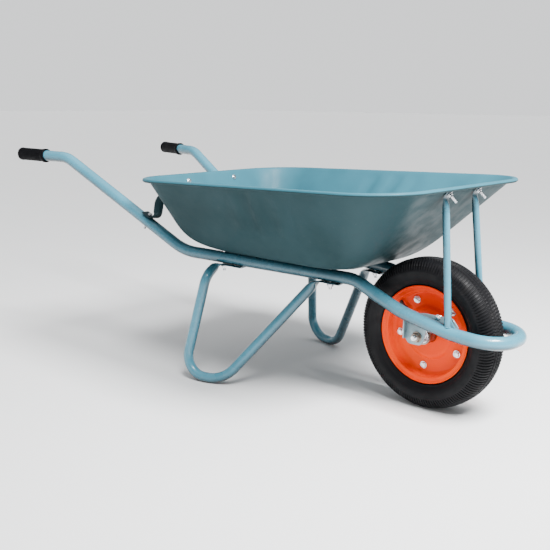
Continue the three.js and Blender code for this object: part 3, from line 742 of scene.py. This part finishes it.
# ---------- frame ----------
def rail_corners(side):
    fork_start = GRIP_BEND[0] + (GRIP_BEND[1] - FORK_HALF) / RAIL_TAPER
    end_x = HANDLE_END[0] + 4.3
    return [
        ((end_x, side * rail_half(end_x), HANDLE_END[1]), 0),
        ((GRIP_BEND[0], side * GRIP_BEND[1], GRIP_BEND[2]), 90),
        ((REST_REAR[0], side * rail_half(REST_REAR[0]), REST_REAR[1]), 150),
        ((REST_FRONT[0], side * rail_half(REST_FRONT[0]), REST_FRONT[1]), 90),
        ((fork_start, side * FORK_HALF, 260.5), 60),
        ((-33, side * FORK_HALF, 230), 230),
        ((94, side * FORK_HALF, 202.5), 320),
        ((LOOP_FRONT_X, side * FORK_HALF, LOOP_Z), FORK_HALF - 6),
    ]


def add_frame_tube():
    corners = rail_corners(-1) + rail_corners(1)[::-1]
    body = tube(corners, RAIL_R, sides=40)
    add_piece("bent_frame_tube", body, FRAME_PAINT, ["frame_tube"])


def add_legs():
    def tab(x, side):
        return (x, side * rail_half(x), rest_z(x) - RAIL_RISE - GAP - TAB_THICK / 2 - 0.1)

    for label, side in SIDES:
        corners = [
            (tab(LEG_BOLT_X["rear"] + 58, side), 0),
            (tab(LEG_BOLT_X["rear"] - 18, side), 22),
            ((LEG_BEND[0], side * LEG_BEND[1], LEG_BEND[2]), 40),
            ((LEG_FOOT_REAR[0], side * LEG_FOOT_REAR[1], FOOT_Z), 52),
            ((LEG_FOOT_FRONT[0], side * LEG_FOOT_FRONT[1], FOOT_Z), 88),
            (tab(LEG_BOLT_X["front"] - 34, side), 30),
            (tab(LEG_BOLT_X["front"] + 28, side), 0),
        ]
        ends = {"start": 64, "stop": 56, "ease": 30, "half": TAB_HALF, "thick": TAB_THICK / 2,
                "first": (side * RAIL_TAPER, 1, 0)}
        points, faces = tube(corners, LEG_R, ends)
        points[:, 2] = np.maximum(points[:, 2], 0)
        add_piece(f"leg_tube_{label}", (points, faces), FRAME_PAINT, [f"leg_{label}"])


def add_struts():
    for label, side in SIDES:
        y = side * STRUT_BOLT[1]

        def on_wall(z):
            point, out, _ = tray_wall("front", z, y)
            return tuple(point + out * (GAP + 2))

        foot = side * FORK_HALF
        corners = [((STRUT_FOOT_X, foot, STRUT_FOOT_Z), 0), (on_wall(498.5), 16), (on_wall(513.5), 0)]
        rod = tube(corners, STRUT_R, {"stop": 21, "ease": 24, "half": 11.5, "thick": 2})
        outline = ((STRUT_FOOT_X, STRUT_FOOT_Z), (STRUT_FOOT_X + 20, STRUT_FOOT_Z),
                   (STRUT_FOOT_X, STRUT_FOOT_Z + 31))
        gusset = np.array([(x, foot + dy, z) for dy in (-1.5, 1.5) for x, z in outline])
        faces = [(0, 1, 2), (5, 4, 3), (0, 3, 4, 1), (1, 4, 5, 2), (2, 5, 3, 0)]
        bead = weld_bead((STRUT_FOOT_X, foot, STRUT_FOOT_Z + 7), STRUT_R + 0.2, 1.6)
        body = merged(rod, (gusset, faces), bead)
        add_piece(f"strut_tube_{label}", body, FRAME_PAINT, [f"strut_{label}"])


def weld_bead(centre, radius, thick, count=72):
    """Rippled ring of weld laid flat round a foot."""
    rings = []
    for k in range(count):
        angle = 2 * math.pi * k / count
        along = np.array([-math.sin(angle), math.cos(angle), 0])
        out = np.array([math.cos(angle), math.sin(angle), 0])
        ripple = thick * (1 + 0.16 * math.sin(k * 2.2))
        drop = 0.14 * math.sin(angle) ** 2 * radius
        middle = np.array(centre) + out * radius - np.array([0, 0, drop])
        rings.append(oval(middle, along, out, ripple, ripple, 10))
    return skin(rings, joined=True)


def add_rear_braces():
    for label, side in SIDES:
        def on_rail(x):
            point, up = rail_top(x, side)
            return tuple(point + up * (GAP + 2))

        def on_wall(z, y):
            point, out, _ = tray_wall("rear", z, side * y)
            return tuple(point + out * (GAP + 2))

        corners = [
            (on_rail(BRACE_FOOT_X - 16), 0),
            (on_rail(BRACE_FOOT_X + 23), 12),
            ((BRACE_BEND[0], side * BRACE_BEND[1], BRACE_BEND[2]), 30),
            (on_wall(473, BRACE_BOLT[1] + 30), 14),
            (on_wall(480, BRACE_BOLT[1] - 14), 0),
        ]
        wall_up = tray_wall("rear", BRACE_BOLT[0], side * BRACE_BOLT[1])[2]
        ends = {"start": 34, "stop": 52, "ease": 20, "half": 15, "thick": 2,
                "first": (side * RAIL_TAPER, 1, 0), "last": wall_up}
        body = tube(corners, BRACE_R, ends)
        add_piece(f"brace_tube_{label}", body, BRACE_SHADED_PAINT, [f"rear_brace_{label}"])


def add_grips():
    """Moulded sleeve with fine ribs along it, a flared collar and a rounded closed end."""
    length = GRIP_LENGTH
    sides = 144
    angles = 2 * math.pi * np.arange(sides) / sides
    # Distance from the closed end, radius, and 1 where the ribs are.
    stations = [(0, 9, 0), (0.4, 13, 0), (1.6, 16.4, 0), (3.6, 17.9, 0)]
    stations += [(7, 18.4, 0), (9, 18.3, 0), (10, 17.6, 1)]
    stations += [(y, 17.7, 1) for y in np.linspace(14, length - 14, 14)]
    stations += [(length - 10.5, 17.6, 1), (length - 9, 18.4, 0), (length - 7.6, 19.5, 0)]
    stations += [(length - 2, 19.6, 0), (length - 0.6, 19.2, 0), (length, 18.2, 0), (length, 15.4, 0)]
    rings = []
    for y, radius, ribbed in stations:
        wave = 0.5 + 0.5 * np.cos(angles * 24)
        reach = radius - ribbed * 0.75 * wave ** 3
        rings.append(np.stack([reach * np.cos(angles), np.full(sides, y), reach * np.sin(angles)], 1))
    for label, side in SIDES:
        start = np.array([HANDLE_END[0], side * rail_half(HANDLE_END[0]), HANDLE_END[1]])
        bend = np.array([GRIP_BEND[0], side * GRIP_BEND[1], GRIP_BEND[2]])
        body = aimed(skin(rings), start, unit(bend - start))
        add_piece(f"ribbed_grip_{label}", body, GRIP_PLASTIC, [f"grip_{label}"])


# ---------- axle and its brackets ----------
BRACKET_OUTLINE = (
    (-33, 168), (-22, 156), (8, 156), (17, 166), (22, 190), (24, 196), (96, 190), (104, 214),
    (88, 233), (16, 233), (-10, 228), (-33, 224),
)
WASHER_REACH = 1.16                # washer face against the corners of the hexagon
THREAD_LENGTH = 16


def extruded(outline, low, high):
    """Plate between y = low and y = high with slightly rounded edges."""
    middle = np.mean(outline, axis=0)
    rings = []
    for y, shrink in ((low, 0.5), (low + 0.5, 0), (high - 0.5, 0), (high, 0.5)):
        points = []
        for x, z in outline:
            away = unit(np.array([x, z], float) - middle)
            points.append((x - away[0] * shrink, y, z - away[1] * shrink))
        rings.append(np.array(points))
    return skin(rings)


def add_axle_brackets():
    outline = rounded_profile(BRACKET_OUTLINE, 5, 4)
    fold = [(-33, 168), (-30, 168), (-30, 226), (-33, 226)]
    for label, side in SIDES:
        near = side * BRACKET_INNER
        far = side * (BRACKET_INNER + BRACKET_SHEET)
        fold_far = side * (BRACKET_INNER + 11)
        body = merged(extruded(outline, min(near, far), max(near, far)),
                      extruded(fold, min(near, fold_far), max(near, fold_far)))
        nodes = [f"axle_bracket_{label}"]
        add_piece(f"axle_plate_{label}", body, BRACKET_PAINT, nodes, sharp=50)


def hex_ring(y, flats, limit, sides=48):
    """Hexagon with its corners cut back to the radius limit."""
    angles = 2 * math.pi * np.arange(sides) / sides
    reach = flats / 2 / np.cos((angles + math.pi / 6) % (math.pi / 3) - math.pi / 6)
    reach = np.minimum(reach, limit)
    return np.stack([reach * np.cos(angles), np.full(sides, y), reach * np.sin(angles)], 1)


def round_ring(y, radius, sides=48):
    """Circle round the Y axis."""
    angles = 2 * math.pi * np.arange(sides) / sides
    return np.stack([radius * np.cos(angles), np.full(sides, y), radius * np.sin(angles)], 1)


def thread_rings(start, stop, radius, pitch=1.0):
    """Ridges standing in for a screw thread."""
    rings = []
    for k in range(max(1, round((stop - start) / pitch))):
        y = start + k * pitch
        rings += [round_ring(y, radius - 0.35), round_ring(y + pitch / 2, radius)]
    return rings + [round_ring(stop - 0.6, radius - 0.3), round_ring(stop, radius - 0.9)]


def hex_bolt(size, length):
    """Head below y = 0 with a washer face, shank above it, threaded near its end."""
    flats = size["flats"]
    head = size["head"]
    shank = size["shank"]
    corner = flats / math.sqrt(3)
    washer = corner * WASHER_REACH
    plain = max(0.5, length - THREAD_LENGTH)
    rings = [
        hex_ring(-head, flats, flats * 0.44), hex_ring(-head + 0.25, flats, flats * 0.49),
        hex_ring(-head + 0.9, flats, corner), hex_ring(-1.3, flats, corner),
        round_ring(-1.2, washer - 0.2), round_ring(-1.0, washer),
        round_ring(-0.2, washer), round_ring(0, washer - 0.2),
        round_ring(0, shank), round_ring(plain, shank),
    ]
    return skin(rings + thread_rings(plain, length, shank))


def hex_nut(size):
    """Nut with a washer face at y = 0, open right through."""
    flats = size["flats"]
    height = size["nut"]
    shank = size["shank"]
    corner = flats / math.sqrt(3)
    washer = corner * WASHER_REACH
    return skin([
        round_ring(0, washer - 0.2), round_ring(0.2, washer),
        round_ring(1.0, washer), round_ring(1.2, washer - 0.2),
        hex_ring(1.3, flats, corner), hex_ring(height - 0.8, flats, corner),
        hex_ring(height - 0.2, flats, flats * 0.5), hex_ring(height, flats, flats * 0.45),
        round_ring(height, shank + 0.6), round_ring(height - 0.6, shank + 0.1),
        round_ring(0, shank + 0.1),
    ], joined=True)


def add_axle():
    radius = M12["shank"]
    rings = [round_ring(-AXLE_HALF, radius - 0.8), round_ring(0.7 - AXLE_HALF, radius - 0.1)]
    rings += thread_rings(1 - AXLE_HALF, -58, radius)
    rings += [round_ring(-57.5, radius), round_ring(57.5, radius)]
    rings += thread_rings(58, AXLE_HALF - 0.6, radius)
    points, faces = skin(rings)
    add_piece("threaded_axle", (points + np.array([0, 0, AXLE_Z]), faces), ZINC, ["axle"])
    for label, side in SIDES:
        seat = (0, side * (BRACKET_INNER + BRACKET_SHEET + GAP), AXLE_Z)
        nut = aimed(hex_nut(M12), seat, (0, side, 0))
        add_piece(f"lock_nut_{label}", nut, HUB_STEEL, [f"axle_nut_{label}"])
        low, high = sorted((side * (HUB_HALF + GAP), side * (BRACKET_INNER - GAP)))
        profile = rounded_profile([(6.3, low), (9.5, low), (9.5, high), (6.3, high)], 0.6)
        sleeve = turned(profile, 64)
        add_piece(f"spacer_sleeve_{label}", sleeve, ZINC, [f"axle_spacer_{label}"])


# ---------- wheel ----------
def tyre_half_profile():
    """(radius, y) of the outside from the bead to the middle of the tread, then evenly resampled."""
    corners = np.array([
        (102.4, 16), (102.4, 24.2), (108, 24.8), (113.5, 25.4), (117, 28.5), (120, 30.4),
        (126, 36), (133, 40.2), (141, 42), (149, 41.8), (156, 40), (162, 37),
        (167, 32.8), (171.3, 26.5), (174, 18), (175, 9), (175.3, 0)])
    lengths = run_lengths(corners)
    wanted = np.linspace(0, lengths[-1], 64)
    profile = np.column_stack([np.interp(wanted, lengths, corners[:, k]) for k in (0, 1)])
    for _ in range(2):
        profile[1:-1] = 0.25 * profile[:-2] + 0.5 * profile[1:-1] + 0.25 * profile[2:]
    return profile


def tread_depth(angle, radius, y):
    """Depth of the grooves in millimetres: cross lugs on the shoulders, zigzag grooves round the crown."""
    turn = angle * TREAD_LUGS / (2 * math.pi)
    wide = np.abs(y)
    zigzag = 2 * np.abs((turn % 1) - 0.5) * 2.6
    groove = sum(smooth(1.6 - np.abs(wide - middle - zigzag) / 1.5) for middle in (3.2, 14.5))
    phase = (turn + 0.5 * (y > 0) + wide * 0.035) % 1
    cross = smooth((0.24 - np.abs(phase - 0.5)) / 0.07)
    shoulder = smooth((wide - 17) / 2.5) * smooth((radius - 147) / 7)
    sipe_phase = (turn * 2 + wide * 0.03) % 1
    sipe = 0.45 * smooth((0.12 - np.abs(sipe_phase - 0.5)) / 0.06) * smooth((17 - wide) / 3)
    crown = smooth((radius - 160) / 4)
    return TREAD_DEPTH * np.maximum(np.maximum(groove, sipe) * crown, cross * shoulder * 0.8)


def sidewall_height(radius):
    """Small mouldings round the sidewall: the rim line, and two rings."""
    mouldings = ((118.5, 1.3, 1.2), (127.5, 1.0, 0.7), (146.5, 1.1, 0.8))
    return sum(size * np.exp(-((radius - middle) / width) ** 2) for middle, width, size in mouldings)


def add_tyre():
    half = tyre_half_profile()
    outside = np.concatenate([half * [1, -1], half[::-1][1:]])
    travel = directions(outside)
    out = np.column_stack([travel[:, 1], -travel[:, 0]])
    if out[len(out) // 2, 0] < 0:
        out = -out
    angles = 2 * math.pi * np.arange(TREAD_SEGMENTS) / TREAD_SEGMENTS
    rings = []
    for (radius, y), (out_r, out_y) in zip(outside, out):
        lift = sidewall_height(radius) - tread_depth(angles, radius, y)
        reach = np.minimum(radius + out_r * lift, TYRE_R)
        rings.append(np.stack([reach * np.cos(angles), y + out_y * lift, AXLE_Z + reach * np.sin(angles)], 1))
    inside = [(109, 18), (127, 31), (140, 35.5), (152, 33), (163, 24), (168, 8)]
    for radius, y in inside + [(r, -y) for r, y in inside[::-1]]:
        level = np.full(TREAD_SEGMENTS, float(y))
        rings.append(np.stack([radius * np.cos(angles), level, AXLE_Z + radius * np.sin(angles)], 1))
    body = skin(rings, joined=True)
    add_piece("treaded_tyre", body, TYRE_RUBBER, ["tyre"], "wheel", sharp=32)


RIM_OUTLINE = [
    (22.3, 6.2), (52, 6.2), (57, 5.2), (62, 1.4), (66, 0.2), (92.5, 0.2), (97.5, 1.6), (100.8, 5), (101.7, 9),
    (101.7, 25.2), (111.6, 25.9), (114, 29.5), (113.4, 31.6), (111.4, 31.2), (110.6, 28.6), (108.6, 27.6),
    (101.6, 27.2), (99.7, 25.4), (99.7, 10), (98.6, 6.6), (96, 3.6), (92, 2.2), (66, 2.2), (62.5, 3.2),
    (57.5, 7.2), (52.5, 8.2), (22.3, 8.2),
]


def add_rims():
    for label, side in SIDES:
        profile = [(r, side * y) for r, y in rounded_profile(RIM_OUTLINE, 1.2, 4)]
        add_piece(f"stamped_rim_{label}", turned(profile, 160), RIM_PAINT, [f"rim_half_{label}"],
                  "wheel", sharp=50)
    seat = 2.5
    for k in range(RIM_BOLTS):
        angle = math.radians(RIM_BOLT_START + 360 / RIM_BOLTS * k)
        x = RIM_BOLT_CIRCLE_R * math.cos(angle)
        z = AXLE_Z + RIM_BOLT_CIRCLE_R * math.sin(angle)
        bolt = aimed(hex_bolt(M8, 2 * seat + M8["nut"] + 2), (x, -seat, z), (0, 1, 0))
        add_piece(f"rim_hex_bolt_{k + 1}", bolt, ZINC, [f"rim_bolt_{k + 1}"], "wheel")
        nut = aimed(hex_nut(M8), (x, seat, z), (0, 1, 0))
        add_piece(f"rim_hex_nut_{k + 1}", nut, ZINC, [f"rim_nut_{k + 1}"], "wheel")


def add_hub():
    quarter = [(22, HUB_HALF), (18.9, HUB_HALF), (18.9, 25.6), (16, 25.6)]
    profile = rounded_profile(quarter + [(r, -y) for r, y in quarter[::-1]], 0.8)
    add_piece("turned_hub", turned(profile, 96), HUB_STEEL, ["hub"], "wheel")
    race = [
        (18.6, 25.8), (18.6, 35.8), (16, 35.8), (15.6, 35), (15, 34.8), (10.4, 34.8), (9.8, 35), (9, 35.8),
        (6.08, 35.8), (6.08, 25.8),
    ]
    for label, side in SIDES:
        add_piece(f"bearing_race_{label}", turned([(r, side * y) for r, y in race], 72), ZINC,
                  [f"bearing_{label}"], "wheel")


def add_valve():
    angle = math.radians(VALVE_ANGLE)
    out = np.array([math.cos(angle), 0, math.sin(angle)])
    foot = out * 106 + np.array([0, -11, AXLE_Z])
    steps = ((0, 4.4), (2, 4.1), (13, 3.9), (15.5, 3.2), (16, 2.9), (26, 2.9))
    stem = aimed(skin([round_ring(y, radius, 32) for y, radius in steps]), foot, -out)
    add_piece("valve_stem_moulded", stem, SOFT_RUBBER, ["valve_stem"], "wheel")
    cap_rings = [round_ring(0, 3.9, 32), round_ring(0.5, 4.2, 32)]
    angles = 2 * math.pi * np.arange(32) / 32
    ribs = np.stack([np.cos(angles), np.sin(angles)], 1) * (4.2 - 0.35 * (np.arange(32) % 2))[:, None]
    cap_rings += [np.column_stack([ribs[:, 0], np.full(32, y), ribs[:, 1]]) for y in (0.9, 5.6)]
    cap_rings += [round_ring(6.4, 3.9, 32), round_ring(7.4, 2.8, 32)]
    cap = aimed(skin(cap_rings), out * 80.3 + np.array([0, -11, AXLE_Z]), -out)
    add_piece("valve_cap_ribbed", cap, GRIP_PLASTIC, ["valve_cap"], "wheel")


# ---------- fasteners of the frame ----------
def add_fasteners():
    for label, side in SIDES:
        for end, x in LEG_BOLT_X.items():
            seat = leg_bolt_seat(x, side)
            tab_bottom = rest_z(x) - RAIL_RISE - GAP - TAB_THICK - 0.8
            bolt = aimed(hex_bolt(M8, seat[2] - tab_bottom + M8["nut"] + 7), seat, (0, 0, -1))
            add_piece(f"leg_hex_bolt_{end}_{label}", bolt, ZINC, [f"leg_bolt_{end}_{label}"])
            nut = aimed(hex_nut(M8), (x, seat[1], tab_bottom - 0.9), (0, 0, -1))
            add_piece(f"leg_hex_nut_{end}_{label}", nut, ZINC, [f"leg_nut_{end}_{label}"])
        wall_bolts = (("strut", "front", STRUT_BOLT, 20), ("brace", "rear", BRACE_BOLT, 2))
        for name, wall, (z, y), spare in wall_bolts:
            point, out, _ = tray_wall(wall, z, side * y)
            length = SHEET + GAP + 4 + M6["nut"] + spare
            bolt = aimed(hex_bolt(M6, length), point - out * (SHEET + 0.6), out)
            add_piece(f"{name}_hex_bolt_{label}", bolt, ZINC, [f"{name}_bolt_{label}"])
            nut = aimed(hex_nut(M6), point + out * (GAP + 4.6), out)
            add_piece(f"{name}_hex_nut_{label}", nut, ZINC, [f"{name}_nut_{label}"])
        foot, up = rail_top(BRACE_FOOT_X, side)
        bolt = aimed(hex_bolt(M6, 44), foot + up * (GAP + 4.6), -up)
        add_piece(f"brace_foot_hex_bolt_{label}", bolt, ZINC, [f"brace_foot_bolt_{label}"])
        face = (52, side * (BRACKET_INNER + BRACKET_SHEET + 0.2), 229.8)
        bolt = aimed(hex_bolt(M6, 10), face, (0, -side, 0))
        add_piece(f"bracket_hex_bolt_{label}", bolt, ZINC, [f"bracket_bolt_{label}"])


# ---------- build ----------
add_camera()
add_stage()
add_tray()
add_frame_tube()
add_legs()
add_struts()
add_rear_braces()
add_grips()
add_axle_brackets()
add_axle()
add_tyre()
add_rims()
add_hub()
add_valve()
add_fasteners()
inner_tube_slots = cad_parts["inner_tube"].data.materials
inner_tube_slots.clear()
inner_tube_slots.append(SOFT_RUBBER)
